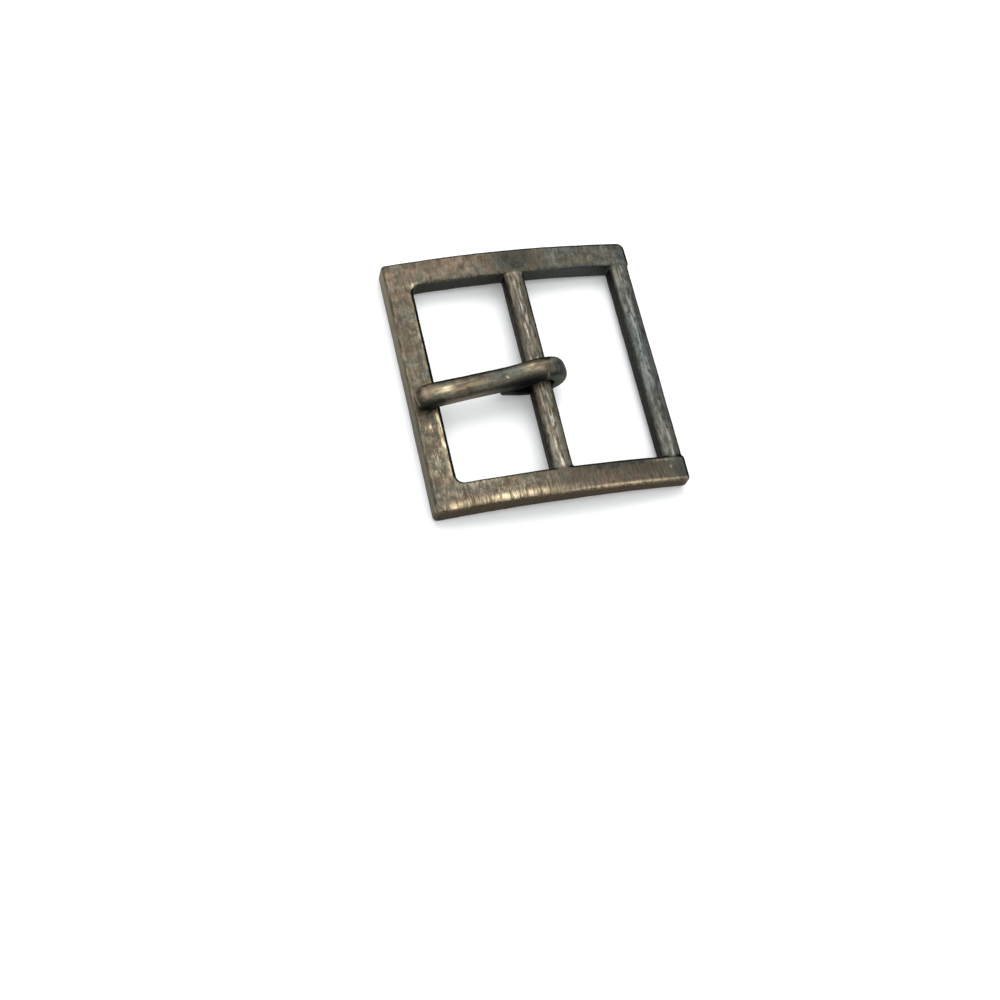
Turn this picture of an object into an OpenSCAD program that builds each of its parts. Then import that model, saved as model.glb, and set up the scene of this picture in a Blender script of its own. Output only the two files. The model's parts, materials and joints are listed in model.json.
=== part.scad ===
// Centre bar buckle for a 25 mm strap: a one-piece cast frame, arched along
// the strap, and a loose prong that is hooked round the frame's centre bar.
// X runs along the strap with the front rail at -X, Y runs along the bars,
// and Z is up. The origin is on the surface that the buckle lies on, under
// the middle of the frame.

/* [Frame] */
// Length of the frame along the strap
frame_len = 30.7; // [28:0.1:38]
// Width of the frame across the strap
frame_wid = 32.3; // [30:0.1:40]
// Thickness of the cast metal
metal = 2.6; // [2.2:0.1:3.2]
// Radius of the arched top face
arch_r = 110; // [80:5:200]
// Width of the front rail, which the prong rests on
front_rail_w = 3.15; // [2.8:0.05:4.5]
// Width of each side rail
side_rail_w = 3.25; // [2.6:0.05:4]
// Rounding of the long edges of the rails
edge_r = 0.35; // [0.2:0.05:0.5]
// Rounding of the frame's four outer corners, seen from above
corner_r = 0.6; // [0.4:0.1:1]

/* [Bars] */
// Width of the centre bar and of the end bar along the strap
bar_w = 2.5; // [2.2:0.1:2.6]
// Height of both bars
bar_h = 2.2; // [1.9:0.1:2.3]
// Rounding of the bars' edges
bar_edge_r = 0.5; // [0.4:0.05:0.8]
// Depth of the bars' tops below the rails' top face
bar_drop = 0.05; // [0.02:0.01:0.3]
// Position of the centre bar along the strap
centre_bar_x = 0.25; // [0:0.05:1.5]
// Distance of the end bar behind the centre bar
end_bar_gap = 13.65; // [12:0.05:13.8]

/* [Prong] */
// Reach of the prong from the centre bar's axis to its tip
prong_reach = 15.3; // [14.6:0.1:15.6]
// Width of the prong
prong_w = 2.6; // [2:0.05:2.7]
// Thickness of the prong's shank
prong_t = 2; // [1.8:0.05:2.05]
// Play between the hook and the centre bar's corners
hook_play = 0.06; // [0.04:0.01:0.15]
// Thickness of the hook under the bar
hook_wall = 0.65; // [0.5:0.05:0.8]
// How far the hook stands off the middle of the centre bar
prong_shift = -0.8; // [-3:0.05:3]
// Angle that the loose prong has swung to one side
prong_yaw = 6; // [0:0.5:6]

/* [Hidden] */

brass_dark = [0.36, 0.32, 0.25];
brass_worn = [0.45, 0.39, 0.28];

// Facets of each rounded edge, and how far a cut runs past its last facet
edge_steps = 3;
edge_tail = 3;
bar_steps = 4;
// Facets of a full circle in the arch and in the hook's bore
arch_fn = 720;
bore_fn = 96;
// How far the cutting shapes run past the metal, in millimetres and degrees
over = 2;
over_ang = 2;
// How far each end of a bar is sunk into its side rail
bar_root = 1;

// The arch, whose axis runs along Y below the buckle. The frame stands on the
// inner lines of the rounded edges under its two ends.
low_r = arch_r - metal;
end_ang = asin(frame_len / 2 / low_r);
axis_z = -sqrt(pow(low_r, 2) - pow(frame_len / 2 - edge_r, 2));
opening_front = front_rail_w - frame_len / 2;
opening_wid = frame_wid - 2 * side_rail_w;

// The bars' middles, and the largest radius of a bar's section
bar_mid_r = arch_r - bar_drop - bar_h / 2;
centre_bar_ang = asin(centre_bar_x / bar_mid_r);
centre_bar_z = axis_z + bar_mid_r * cos(centre_bar_ang);
end_bar_ang = asin((centre_bar_x + end_bar_gap) / bar_mid_r);
bar_reach = norm([bar_w / 2 - bar_edge_r, bar_h / 2 - bar_edge_r]) + bar_edge_r;

// The hook's bore, and the middle of its wall under the bar
hook_r = bar_reach + hook_play;
hook_mid = hook_r + hook_wall / 2;

// The prong's middle line and size, from its tip to the cut end of its hook.
// Each row holds: distance from the centre bar's axis along the prong, height
// above that axis, half thickness and half width. The widths and the
// thicknesses are shares of the prong's own.
prong_ht = prong_t / 2;
prong_hw = prong_w / 2;
prong_rows = [
    [-prong_reach, 1.24, prong_ht * 0.5, prong_hw * 0.62],
    [-prong_reach + 0.12, 1.24, prong_ht * 0.74, prong_hw * 0.82],
    [-prong_reach + 0.45, 1.25, prong_ht * 0.93, prong_hw * 0.98],
    [-prong_reach + 1.0, 1.31, prong_ht, prong_hw * 1.05],
    [-prong_reach + 2.6, 1.48, prong_ht, prong_hw * 1.06],
    [-9.2, 1.52, prong_ht, prong_hw * 1.02],
    [-6.2, 1.52, prong_ht, prong_hw],
    [-4.2, 1.58, prong_ht, prong_hw],
    [-2.4, 1.8, prong_ht * 0.98, prong_hw],
    [-0.9, 2.02, prong_ht * 0.97, prong_hw],
    [0.5, 2.06, prong_ht * 0.97, prong_hw],
    [1.68, 1.68, prong_ht, prong_hw],
    [2.35, 0.74, prong_ht, prong_hw],
    [2.32, -0.35, prong_ht * 0.88, prong_hw * 0.99],
    [1.55, -1.28, prong_ht * 0.6, prong_hw * 0.97],
    [0.5, 0.02 - hook_mid, hook_wall * 0.55, prong_hw * 0.95],
    [-0.8, 0.14 - hook_mid, hook_wall / 2, prong_hw * 0.93],
    [-2.4, -1.3, hook_wall / 2, prong_hw * 0.92],
    [-3.8, -0.75, hook_wall / 2, prong_hw * 0.92],
    [-4.65, -0.4, hook_wall * 0.48, prong_hw * 0.9]];

// Rings of the sweep for each row, points of a ring, and the squareness of
// the section's outer and inner halves, where 2 is an ellipse and more is a
// fuller shape
row_steps = 3;
ring_n = 20;
outer_power = 2.8;
inner_power = 5;

// A quarter round of radius r, from a side at [0, -r] to a face at [r, 0]
function quarter(r, steps) =
    [for (i = [0:steps]) let (a = 90 * i / steps) [r * (1 - cos(a)), r * (sin(a) - 1)]];

// The same, with its last facet run on past the face
function quarter_out(r, steps) =
    let (q = quarter(r, steps), step = q[steps] - q[steps - 1])
    concat(q, [q[steps] + edge_tail * step]);

function flip(list) = [for (i = [len(list) - 1:-1:0]) list[i]];

// The points of a rectangle's four corners in order, each given by the signs
// of its x and y and by its number along the corner, from 0 to last
function corners(last) = [
    for (s = [[1, 1], [-1, 1], [-1, -1], [1, -1]], i = [0:last])
        [s[0], s[1], s[0] * s[1] > 0 ? i : last - i]];

// The height at x of the arched face whose radius is r
function face_z(x, r) = axis_z + sqrt(r * r - x * x);

// A section in radius and width, half wide to each side, with the edge line q
// set inwards at its corners (flare +1) or outwards (flare -1)
function section_side(q, half, flare) = concat(
    flip([for (p = q) [low_r - p[1], half - flare * p[0]]]),
    [for (p = q) [arch_r + p[1], half - flare * p[0]]]);
function section(q, half, flare) =
    let (side = section_side(q, half, flare))
    concat(side, flip([for (p = side) [p[0], -p[1]]]));

// One end of an arched outline in X and Z, from below the metal to above it.
// It stands upright at x, and into is +1 where its edges are rounded towards
// +X and -1 where they are rounded towards -X.
function end_line(x, into) =
    let (q = quarter_out(edge_r, edge_steps), last = x + into * q[edge_steps + 1][0])
    concat(
        [[last, face_z(last, low_r) - over]],
        flip([for (p = q) let (at = x + into * p[0]) [at, face_z(at, low_r) - p[1]]]),
        [for (p = q) let (at = x + into * p[0]) [at, face_z(at, arch_r) + p[1]]],
        [[last, face_z(last, arch_r) + over]]);

// Sweeps a section drawn in radius and width round the arch
module arch_sweep(from_ang, to_ang) {
    translate([0, 0, axis_z]) rotate([90, 0, 0])
        rotate_extrude(start = 90 - to_ang, angle = to_ang - from_ang, $fn = arch_fn) children();
}

// Extrudes an outline drawn in X and Z along Y
module along_y(width) {
    translate([0, width / 2, 0]) rotate([90, 0, 0]) linear_extrude(height = width) children();
}

// The plan outline that rounds the four outer corners
module corner_outline() {
    q = quarter(corner_r, edge_steps);
    arc = concat([q[0] + edge_tail * (q[0] - q[1])], quarter_out(corner_r, edge_steps));
    polygon([for (c = corners(len(arc) - 1))
        [c[0] * (frame_len / 2 - arc[c[2]][0]), c[1] * (frame_wid / 2 + arc[c[2]][1])]]);
}

// The arched plate with its outer edges rounded, before the opening is cut
module plate() {
    intersection() {
        arch_sweep(-end_ang - over_ang, end_ang + over_ang)
            polygon(section(quarter(edge_r, edge_steps), frame_wid / 2, 1));
        along_y(frame_wid + 2 * over)
            polygon(concat(
                flip(end_line(-frame_len / 2, 1)),
                [[0, face_z(0, low_r) - over]],
                end_line(frame_len / 2, -1),
                [[0, face_z(0, arch_r) + over]]));
        translate([0, 0, -over]) linear_extrude(height = 3 * metal + over) corner_outline();
    }
}

// The single long opening, which the two bars divide and close
module opening() {
    rear = frame_len / 2 + over;
    intersection() {
        arch_sweep(-end_ang, end_ang + over_ang)
            polygon(section(quarter_out(edge_r, edge_steps), opening_wid / 2, -1));
        along_y(opening_wid + 2 * over)
            polygon(concat(
                flip(end_line(opening_front, -1)),
                [[rear, face_z(rear, low_r) - over], [rear, face_z(0, arch_r) + over], [0, face_z(0, arch_r) + over]]));
    }
}

// One bar across the frame, tilted to lie in the arch
module bar(ang) {
    corner = [bar_w / 2 - bar_edge_r, bar_h / 2 - bar_edge_r];
    translate([bar_mid_r * sin(ang), 0, axis_z + bar_mid_r * cos(ang)]) rotate([0, ang, 0])
        along_y(opening_wid + 2 * bar_root)
            polygon([for (c = corners(bar_steps)) let (a = 90 * c[2] / bar_steps)
                [c[0] * (corner[0] + bar_edge_r * cos(a)), c[1] * (corner[1] + bar_edge_r * sin(a))]]);
}

// The casting: front rail, two side rails, centre bar and end bar
module frame() {
    color(brass_dark) union() {
        difference() {
            plate();
            opening();
        }
        bar(centre_bar_ang);
        bar(end_bar_ang);
    }
}

// A smooth curve through the rows: b and c are its ends, a and d lie beyond
function pull(a, b, c, d, t) =
    0.5 * (2 * b + (c - a) * t + (2 * a - 5 * b + 4 * c - d) * t * t + (3 * b - a - 3 * c + d) * t * t * t);
function row_at(i) = prong_rows[max(0, min(len(prong_rows) - 1, i))];
prong_line = concat(
    [for (i = [0:len(prong_rows) - 2], j = [0:row_steps - 1])
        pull(row_at(i - 1), row_at(i), row_at(i + 1), row_at(i + 2), j / row_steps)],
    [row_at(len(prong_rows) - 1)]);

// The direction out of the prong's back at one ring, and the ring's points
function line_at(i) = prong_line[max(0, min(len(prong_line) - 1, i))];
function side_of(i) = let (d = line_at(i + 1) - line_at(i - 1)) [-d[1], d[0]] / norm([d[0], d[1]]);
function fuller(v, power) = sign(v) * pow(abs(v), 2 / power);
function prong_ring(i) =
    let (p = prong_line[i], n = side_of(i))
    [for (k = [0:ring_n - 1])
        let (a = 360 * k / ring_n, power = a < 180 ? outer_power : inner_power, out = p[2] * fuller(sin(a), power))
        [p[0] + n[0] * out, p[3] * fuller(cos(a), power), p[1] + n[1] * out]];

// The prong before its hook is bored, with its tip at -X
module prong_blank() {
    last = len(prong_line) - 1;
    polyhedron(
        points = [for (i = [0:last]) each prong_ring(i)],
        faces = concat(
            [[for (k = [0:ring_n - 1]) k]],
            [for (i = [0:last - 1], k = [0:ring_n - 1]) let (m = (k + 1) % ring_n)
                each [
                    [i * ring_n + k, (i + 1) * ring_n + k, (i + 1) * ring_n + m],
                    [i * ring_n + k, (i + 1) * ring_n + m, i * ring_n + m]]],
            [[for (k = [ring_n - 1:-1:0]) last * ring_n + k]]));
}

// The prong on its bar: loose, so it stands off the middle and a little askew
module prong() {
    color(brass_worn) translate([centre_bar_x, 0, centre_bar_z]) difference() {
        translate([0, prong_shift, 0]) rotate([0, 0, prong_yaw]) prong_blank();
        rotate([90, 0, 0]) cylinder(r = hook_r, h = 2 * frame_wid, center = true, $fn = bore_fn);
    }
}

frame();
prong();
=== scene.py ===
# %% [markdown]
# A centre bar buckle in antique brass: a small square frame with two bars, and
# a loose prong that turns on the middle one. The solids come packed with their
# sizes, bodies and hinge. This lesson gives them the look of the real metal:
# soft cast corners, a brown patina, brushed marks and edges rubbed to brass.

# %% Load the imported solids
import json
import math

import bmesh
import bpy
import numpy as np
from mathutils import Matrix, Vector, noise


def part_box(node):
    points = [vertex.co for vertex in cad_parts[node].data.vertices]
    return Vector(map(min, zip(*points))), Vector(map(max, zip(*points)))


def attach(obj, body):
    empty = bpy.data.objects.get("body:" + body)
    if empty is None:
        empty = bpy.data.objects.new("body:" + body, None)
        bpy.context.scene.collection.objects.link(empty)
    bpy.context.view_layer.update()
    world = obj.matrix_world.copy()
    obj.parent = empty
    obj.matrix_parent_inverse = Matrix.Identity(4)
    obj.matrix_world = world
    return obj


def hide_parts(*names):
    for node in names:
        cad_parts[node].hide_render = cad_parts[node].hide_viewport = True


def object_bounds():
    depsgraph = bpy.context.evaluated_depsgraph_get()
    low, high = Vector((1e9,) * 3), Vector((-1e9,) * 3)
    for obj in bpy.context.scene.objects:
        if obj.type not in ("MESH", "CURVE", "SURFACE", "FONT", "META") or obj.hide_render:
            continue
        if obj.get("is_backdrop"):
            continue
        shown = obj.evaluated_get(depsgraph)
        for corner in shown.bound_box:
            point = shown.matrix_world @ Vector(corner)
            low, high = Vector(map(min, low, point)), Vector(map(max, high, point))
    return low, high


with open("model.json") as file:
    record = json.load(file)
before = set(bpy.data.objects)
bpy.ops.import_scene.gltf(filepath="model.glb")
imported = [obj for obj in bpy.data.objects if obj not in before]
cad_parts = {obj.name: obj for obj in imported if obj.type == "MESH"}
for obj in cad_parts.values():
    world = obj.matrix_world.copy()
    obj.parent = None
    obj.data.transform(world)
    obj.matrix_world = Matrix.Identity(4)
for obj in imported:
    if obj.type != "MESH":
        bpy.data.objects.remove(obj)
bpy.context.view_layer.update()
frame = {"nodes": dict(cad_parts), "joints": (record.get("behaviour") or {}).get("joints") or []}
hinge = next(j for j in frame["joints"] if j["name"] == "prong_swing")

# %% [markdown]
# Small metalwork is easier to shape in millimetres, because Blender's tools
# have lower limits that a buckle in metres comes close to. Every piece here is
# modelled in millimetres and scaled down once, when it is finished. The sizes
# that the solids can tell are read from them, and the rest are the casting's
# own: how thick its metal is, how wide its rails and bars are, and how it is
# arched along the strap.

# %% Sizes of the casting, in millimetres
MM = 1000.0
frame_low, frame_high = (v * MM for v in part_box("frame"))
HINGE = np.array(hinge["pos_m"]) * MM
FRAME_LEN = frame_high.x - frame_low.x
FRAME_WID = frame_high.y - frame_low.y
METAL = 2.6
ARCH_R = 110.0
FRONT_RAIL_W = 3.15
SIDE_RAIL_W = 3.25
# How round the plate's long edges are rolled
EDGE_R = 0.35
BAR_W = 2.5
BAR_H = 2.2
# How far the bars' tops lie below the rails' face
BAR_DROP = 0.05
# From the middle of the centre bar to the middle of the end bar
END_BAR_GAP = 13.65
print("frame in mm:", round(FRAME_LEN, 2), "by", round(FRAME_WID, 2), "by", round(frame_high.z, 2))

# %% [markdown]
# The real frame is curved to follow the strap, while its two ends and all the
# walls of its rails stay upright. So the frame is modelled flat, with x along
# the strap, y along the bars and h up from its face, and one function drapes
# it over the arch: it keeps x and y, and lifts each point by the arch's height
# there. A Simple Deform modifier could bend it, but it would tilt the ends.

# %% The arch
LOW_R = ARCH_R - METAL
# The arch's axis lies so far down that the feet, inside their rolled edges, stand at z = 0
AXIS_Z = -math.sqrt(LOW_R ** 2 - (FRAME_LEN / 2 - EDGE_R) ** 2)


def draped(points):
    """Flat points (x, y, h) as an array, draped over the arch."""
    height = np.sqrt((ARCH_R + points[:, 2]) ** 2 - points[:, 0] ** 2)
    return np.column_stack([points[:, 0], points[:, 1], AXIS_Z + height])


def undraped(x, z):
    """The flat place (x, h) of a point that the arch carries at x and z."""
    return x, math.hypot(x, z - AXIS_Z) - ARCH_R


print("crown of the arch in mm:", round(AXIS_Z + ARCH_R, 3))

# %% [markdown]
# The rails are one U-shaped plate: from above it is a rectangle with a long
# opening that runs out at the rear, where the end bar closes it. Real corners
# are never sharp, so one helper rounds any outline, corner by corner. It could
# be a Bevel modifier on vertices, but a helper can round each corner by its
# own radius and serves the bars' section as well.

# %% Round the corners of an outline
ARC_STEPS = 8


def rounded(corners):
    """Corners (x, y, radius), anticlockwise, as a list of points with an arc at each corner."""
    points = []
    for i, (x, y, radius) in enumerate(corners):
        here = Vector((x, y))
        before = (Vector(corners[i - 1][:2]) - here).normalized()
        after = (Vector(corners[(i + 1) % len(corners)][:2]) - here).normalized()
        half = before.angle(after) / 2
        middle = here + (before + after).normalized() * radius / math.sin(half)
        start = here + before * radius / math.tan(half) - middle
        turn = start.angle_signed(here + after * radius / math.tan(half) - middle)
        for k in range(ARC_STEPS + 1):
            points.append(middle + Matrix.Rotation(-turn * k / ARC_STEPS, 2) @ start)
    return points


half_x = FRAME_LEN / 2
open_x = half_x - FRONT_RAIL_W
half_y = FRAME_WID / 2
open_y = half_y - SIDE_RAIL_W
NEAR_FRONT_R, FAR_FRONT_R, NEAR_REAR_R, FAR_REAR_R = 0.55, 0.38, 0.42, 0.9
INNER_R, RAIL_END_R = 0.9, 0.42
rail_outline = rounded([
    (-half_x, -half_y, NEAR_FRONT_R),
    (half_x, -half_y, NEAR_REAR_R),
    (half_x, -open_y, RAIL_END_R),
    (-open_x, -open_y, INNER_R),
    (-open_x, open_y, INNER_R),
    (half_x, open_y, RAIL_END_R),
    (half_x, half_y, FAR_REAR_R),
    (-half_x, half_y, FAR_FRONT_R),
])
print("points of the rails' outline:", len(rail_outline))

# %% [markdown]
# The plate is that outline pushed down by the metal's thickness, with its top
# and bottom edges rolled over. The upright edges are left alone, because the
# outline has rounded them already.

# %% The plate of rails
EDGE_SEGMENTS = 4


def add_plate(bm):
    """The rails' plate with rolled edges, flat, added to a bmesh."""
    top = bm.faces.new([bm.verts.new((p.x, p.y, 0)) for p in rail_outline])
    if top.normal.dot(Vector((0, 0, 1))) < 0:
        top.normal_flip()
    pushed = bmesh.ops.extrude_face_region(bm, geom=[top], use_keep_orig=True)
    low = [v for v in pushed["geom"] if isinstance(v, bmesh.types.BMVert)]
    bmesh.ops.translate(bm, verts=low, vec=(0, 0, -METAL))
    bmesh.ops.recalc_face_normals(bm, faces=bm.faces)
    rims = [e for e in bm.edges if abs(e.verts[0].co.z - e.verts[1].co.z) < METAL / 2]
    bmesh.ops.bevel(bm, geom=rims, offset=EDGE_R, segments=EDGE_SEGMENTS, profile=0.5, affect="EDGES")


print("plate:", METAL, "mm thick, with its edges rolled by", EDGE_R, "mm")

# %% [markdown]
# Both bars are squarish rods that lie a hair below the rails' face. On the
# real buckle their tops are gently crowned and their edges are rubbed round,
# the front one most, which gives each bar its bright line along the middle.
# The section is drawn once as a little house with a rounded roof, and
# stretched from rail to rail with its ends sunk in the casting.

# %% The bars
# How deep the bars' ends are sunk in the rails
BAR_ROOT = 1.0
ROOF_DROP, RIDGE_RISE, RIDGE_R = 0.26, 0.065, 1.6
FOOT_R, REAR_EDGE_R, FRONT_EDGE_R = 0.42, 0.45, 0.55
bar_section = rounded([
    (-BAR_W / 2, -BAR_H / 2, FOOT_R),
    (BAR_W / 2, -BAR_H / 2, FOOT_R),
    (BAR_W / 2, BAR_H / 2 - ROOF_DROP, REAR_EDGE_R),
    (0, BAR_H / 2 + RIDGE_RISE, RIDGE_R),
    (-BAR_W / 2, BAR_H / 2 - ROOF_DROP, FRONT_EDGE_R),
])
bar_mid_r = ARCH_R - BAR_DROP - BAR_H / 2
bar_places = {"centre bar": HINGE[0], "end bar": HINGE[0] + END_BAR_GAP}


def add_bar(bm, x):
    """One bar across the frame at x, tilted to lie in the arch, added to a bmesh."""
    lean = math.asin(x / bar_mid_r)
    ends = []
    for y in (-open_y - BAR_ROOT, open_y + BAR_ROOT):
        ring = []
        for p in bar_section:
            point_x = x + p.x * math.cos(lean) + p.y * math.sin(lean)
            point_z = AXIS_Z + bar_mid_r * math.cos(lean) - p.x * math.sin(lean) + p.y * math.cos(lean)
            flat_x, flat_h = undraped(point_x, point_z)
            ring.append(bm.verts.new((flat_x, y, flat_h)))
        ends.append(ring)
    count = len(bar_section)
    for i in range(count):
        j = (i + 1) % count
        bm.faces.new([ends[0][i], ends[0][j], ends[1][j], ends[1][i]])
    bm.faces.new(reversed(ends[0]))
    bm.faces.new(ends[1])


print("bars stand at x in mm:", {name: round(float(x), 2) for name, x in bar_places.items()})

# %% [markdown]
# In the mould the metal runs together, so a bar meets its rail in a small soft
# hollow and not in a line. A voxel Remesh does the same thing: it takes the
# plate and the bars as one body of metal and skins it anew, and a little
# smoothing then rounds each inside corner. A Boolean union would keep the hard
# lines, which a casting doesn't have.

# %% Fuse the rails and bars into one casting
VOXEL = 0.135
SMOOTH_PASSES = 3


def new_object(name, data):
    """An object with this data, added to the scene."""
    obj = bpy.data.objects.new(name, data)
    bpy.context.scene.collection.objects.link(obj)
    return obj


def finished(obj):
    """The object's mesh with its modifiers applied. The object itself is cleared away."""
    graph = bpy.context.evaluated_depsgraph_get()
    mesh = bpy.data.meshes.new_from_object(obj.evaluated_get(graph))
    bpy.data.objects.remove(obj)
    return mesh


blank = bpy.data.meshes.new("casting_blank")
bm = bmesh.new()
add_plate(bm)
for x in bar_places.values():
    add_bar(bm, x)
bmesh.ops.recalc_face_normals(bm, faces=bm.faces)
bm.to_mesh(blank)
bm.free()
casting = new_object("casting", blank)
skin = casting.modifiers.new("one body of metal", "REMESH")
skin.mode = "VOXEL"
skin.voxel_size = VOXEL
settle = casting.modifiers.new("soft inside corners", "SMOOTH")
settle.factor = 0.5
settle.iterations = SMOOTH_PASSES
frame_mesh = finished(casting)
print("casting:", len(frame_mesh.vertices), "points,", len(frame_mesh.polygons), "faces")

# %% [markdown]
# Hand finishing leaves a casting a little uneven: faces dip, edges waver by a
# few hundredths of a millimetre, and there are small nicks. Real unevenness
# has several sizes at once, so each point is pushed along its normal by a sum
# of noises, from broad and shallow to small and sharp. The steps are far too
# small to change the buckle's size, and what would still stand out of the
# solid's box is held back to it. The feet at the rear are also worn rounder
# than the front one, so a square stretch of each lower edge is turned round.

# %% Uneven surfaces
# Each swell: waves per millimetre, and depth
SWELLS = [(0.22, 0.030), (0.7, 0.018), (2.2, 0.007)]
# The x behind which the feet are worn, and how far the wear reaches in from the edge
FOOT_FROM, FOOT_SIZE = 1.0, 0.9
TINY = 1e-6


def arrays(mesh):
    """A mesh's points and normals as two arrays."""
    points = np.empty(len(mesh.vertices) * 3)
    normals = np.empty(len(mesh.vertices) * 3)
    mesh.vertices.foreach_get("co", points)
    mesh.vertices.foreach_get("normal", normals)
    return points.reshape(-1, 3), normals.reshape(-1, 3)


def uneven(points, normals, share=1.0):
    """The points, moved along their normals by noises of several sizes."""
    moved = points.copy()
    for per_mm, depth in SWELLS:
        height = np.array([noise.noise(Vector(p) * per_mm) for p in points])
        moved += normals * (height * depth * share)[:, None]
    return moved


def worn_feet(points):
    """The points, with the rails' lower outer edges rounded more and more towards the rear."""
    share = np.clip((points[:, 0] - FOOT_FROM) / (half_x - FOOT_FROM), 0, 1)
    side = np.clip(1 - (half_y - np.abs(points[:, 1])) / FOOT_SIZE, 0, 1)
    low = np.clip(1 - (points[:, 2] + METAL) / FOOT_SIZE, 0, 1)
    square_to_round = np.maximum(side, low) / np.maximum(np.hypot(side, low), TINY)
    inwards = share * (1 - square_to_round) * FOOT_SIZE
    moved = points.copy()
    moved[:, 1] -= np.sign(points[:, 1]) * side * inwards
    moved[:, 2] += low * inwards
    return moved


flat, flat_normals = arrays(frame_mesh)
flat_uneven = worn_feet(uneven(flat, flat_normals))
bent = np.clip(draped(flat_uneven), frame_low, frame_high)
print("largest move in mm:", round(float(np.abs(flat_uneven - flat).max()), 3))

# %% [markdown]
# Antique finish is dark all over at first and is then rubbed back, so its
# colour depends on the shape: raised edges shine, faces are brown, and walls
# and hollows stay dark. The mesh itself knows all that. How far a point stands
# out of its neighbours' plane tells an edge from a face, and the normal tells
# a face from a wall. These are stored as attributes, which the materials read
# and which stay with the metal when the prong turns.

# %% Store what the finish needs to know
SPREAD_RINGS = 6


def stand_out(mesh, points, normals):
    """How far each point stands out of its neighbours, averaged over a few rings of them."""
    edges = np.empty(len(mesh.edges) * 2, int)
    mesh.edges.foreach_get("vertices", edges)
    a, b = edges.reshape(-1, 2).T
    count = np.bincount(a, minlength=len(points)) + np.bincount(b, minlength=len(points))
    step = points[b] - points[a]
    rise = np.bincount(a, -(step * normals[a]).sum(1), len(points))
    rise += np.bincount(b, (step * normals[b]).sum(1), len(points))
    square = (step ** 2).sum(1)
    length = np.bincount(a, square, len(points)) + np.bincount(b, square, len(points))
    bow = 2 * rise / length
    for _ in range(SPREAD_RINGS):
        around = np.bincount(a, bow[b], len(points)) + np.bincount(b, bow[a], len(points))
        bow = 0.5 * bow + 0.5 * around / count
    return bow


def store(mesh, **layers):
    """Keeps layers of values on the mesh: one or three values for each point, under each name."""
    for name, values in layers.items():
        kind, field = ("FLOAT", "value") if values.ndim == 1 else ("FLOAT_VECTOR", "vector")
        layer = mesh.attributes.new(name, kind, "POINT")
        layer.data.foreach_set(field, values.astype(np.float32).ravel())


def place(mesh, name, points):
    """A finished piece: its mesh at these points, scaled to metres and shaded smooth."""
    mesh.vertices.foreach_set("co", (points / MM).ravel())
    mesh.shade_smooth()
    mesh.update()
    return new_object(name, mesh)


print("edges are found over", SPREAD_RINGS, "rings of neighbours, which are", VOXEL, "mm apart")

# %% [markdown]
# Where hands and straps rub, the brass comes through, and where they don't,
# the patina stays thick. On this buckle the near side rail's outer edge is
# rubbed bright along its front half, the far front corner is reddish, one
# stretch of the far rail is nearly black, and the end bar has a cool green
# cast. Flecked places carry many fine scratches, and specks are bright nicks.
# Some spots are painted light and shade: thin bright lines along the rails'
# edges are painted highlights, some specks are painted glints, and thin dark
# lines along the centre bar's rear edge and the rails' rear ends are painted
# shade. The real marks lie where chance put them, so they are listed one by
# one, as soft spots on the frame as it is before it is draped over the arch.

# %% Rubbed, reddish and dark places of the frame
# Each spot: x, y, reach along x, reach along y, strength
# Rubbed places, and painted highlights in the thin bright lines along the rails' edges
RUBBED_AND_HIGHLIT = [
    (-6.0, -15.5, 4.5, 0.4, 1.4),
    (-13.0, -15.6, 2.5, 0.45, 0.7),
    (6.0, -16.0, 10.0, 0.2, 0.6),
    (-4.0, 12.85, 9.0, 0.2, 0.4),
    (-11.8, 12.8, 0.7, 0.4, 0.8),
    (-12.7, -6.5, 0.25, 5.0, 1.3),
    (-12.5, 6.0, 0.25, 6.0, 0.3),
    (-15.1, 2.0, 0.2, 12.0, 0.3),
    (-10.0, -13.3, 2.5, 0.4, 0.3),
    (12.5, -13.4, 1.5, 0.15, 0.4),
]
REDDISH = [
    (-14.0, 14.6, 3.0, 1.8, 0.9),
    (-7.5, 14.8, 3.2, 1.5, 0.9),
    (-14.5, 9.0, 1.0, 5.0, 0.4),
    (-8.0, -14.2, 5.0, 1.4, 0.5),
    (-14.0, -3.0, 1.5, 3.0, 0.3),
    (3.0, -15.0, 9.0, 1.4, 0.8),
]
# Dark places: the patina's own, and painted shade in thin dark lines along the centre bar's rear edge,
# the rails' rear ends and the near front corner
DARKENED_AND_SHADED = [
    (0.6, 14.8, 2.4, 1.8, 1.4),
    (15.3, 14.5, 0.3, 2.2, 1.5),
    (15.3, -14.5, 0.25, 2.0, 1.0),
    (9.5, -13.9, 6.0, 1.5, 0.65),
    (14.5, -14.5, 2.0, 2.0, 0.6),
    (-14.6, 7.5, 1.0, 2.2, 0.3),
    (-14.7, -15.9, 0.7, 0.35, 1.8),
    (7.0, -13.4, 7.0, 0.8, 1.0),
    (1.5, -14.7, 5.0, 1.0, 0.5),
    (1.42, 0.0, 0.18, 13.5, 1.2),
    (0.25, 8.5, 1.5, 4.5, 0.35),
    (2.5, -13.5, 3.0, 0.8, 0.6),
]
FLECKED = [
    (-13.6, -9.0, 1.4, 6.0, 0.45),
    (-9.0, -14.4, 7.0, 1.3, 0.35),
    (-13.4, 6.0, 1.0, 5.0, 0.2),
]
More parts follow.
